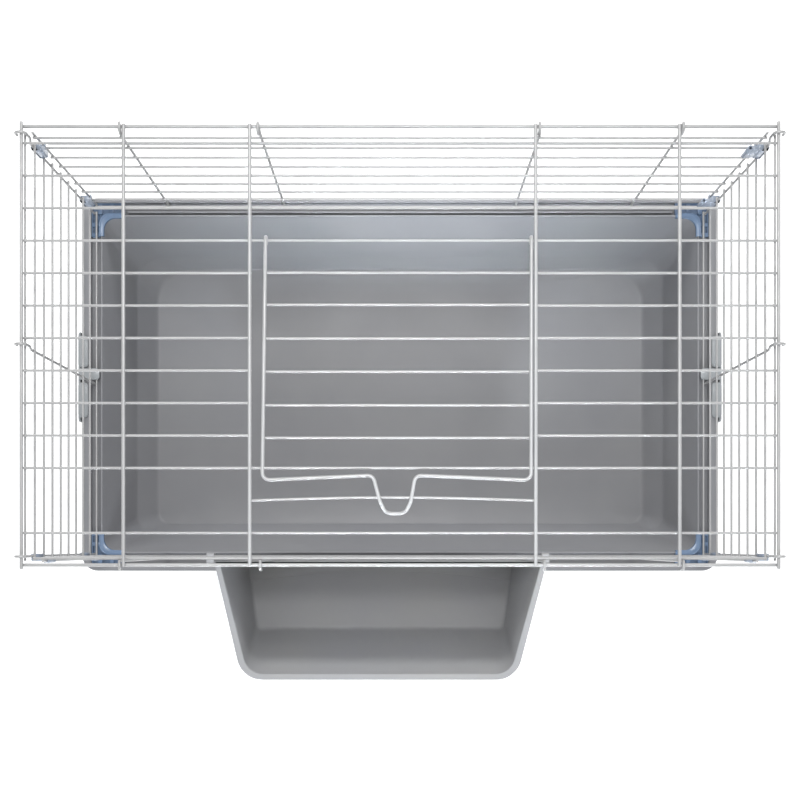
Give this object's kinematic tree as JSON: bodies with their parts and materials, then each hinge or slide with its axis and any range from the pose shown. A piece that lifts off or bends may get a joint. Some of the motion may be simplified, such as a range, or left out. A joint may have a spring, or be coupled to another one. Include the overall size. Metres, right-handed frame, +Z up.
{
  "type": "rabbit_hutch",
  "caption": "Wire-topped indoor rabbit hutch with a grey moulded tray, lift-up roof door, two side latches, light blue corner clips and a trough hung on the front wall",
  "frame": {"origin": "middle of the tray's underside", "axes": "+X right along the long side, +Y to the back, +Z up; the front with the trough faces -Y"},
  "size_m": [0.786, 0.573, 0.4223],
  "materials": {
    "tray_plastic": "semi-matt moulded polypropylene, mid grey",
    "trough_plastic": "semi-matt moulded polypropylene, mid grey",
    "latch_plastic": "glossy light bluish grey",
    "wire": "bright zinc-plated welded steel wire",
    "clip_plastic": "light blue, slightly see-through",
    "bracket_plastic": "light blue, darker in the channel"
  },
  "bodies": {
    "hutch": {"tray": "tray_plastic", "left_wall_bars": "wire", "left_wall_uprights": "wire", "right_wall_bars": "wire", "right_wall_uprights": "wire", "back_wall_bars": "wire", "back_wall_uprights": "wire", "front_wall_bars": "wire", "front_wall_uprights": "wire", "roof_edge_wires": "wire", "roof_cross_wires": "wire", "roof_full_bars": "wire", "roof_left_short_bars": "wire", "roof_right_short_bars": "wire", "upper_clip_back_left": "clip_plastic", "upper_clip_back_right": "clip_plastic", "upper_clip_front_left": "clip_plastic", "upper_clip_front_right": "clip_plastic", "lower_clip_back_left": "clip_plastic", "lower_clip_back_right": "clip_plastic", "lower_clip_front_left": "clip_plastic", "lower_clip_front_right": "clip_plastic", "corner_bracket_back_left": "bracket_plastic", "corner_bracket_back_right": "bracket_plastic", "corner_bracket_front_left": "bracket_plastic", "corner_bracket_front_right": "bracket_plastic"},
    "roof_door": {"door_left_wire": "wire", "door_right_wire": "wire", "door_front_wires": "wire", "door_latch_loop": "wire", "door_bars": "wire"},
    "latch_right": {"right_latch": "latch_plastic"},
    "latch_left": {"left_latch": "latch_plastic"},
    "feeder": {"feeder_trough": "trough_plastic"}
  },
  "joints": [
    {"name": "door_hinge", "type": "hinge", "parent": "hutch", "child": "roof_door", "pos_m": [0, 0.10379, 0.4135], "axis": [-1, 0, 0], "range_deg": [0, 165]},
    {"name": "right_latch_pivot", "type": "hinge", "parent": "hutch", "child": "latch_right", "pos_m": [0.386, 0.009, 0.098], "axis": [0, 1, 0], "range_deg": [0, 88]},
    {"name": "left_latch_pivot", "type": "hinge", "parent": "hutch", "child": "latch_left", "pos_m": [-0.386, 0.009, 0.098], "axis": [0, -1, 0], "range_deg": [0, 88]},
    {"name": "feeder_hook", "type": "hinge", "parent": "hutch", "child": "feeder", "pos_m": [0, -0.21, 0.2838], "axis": [-1, 0, 0], "range_deg": [0, 55]}
  ]
}
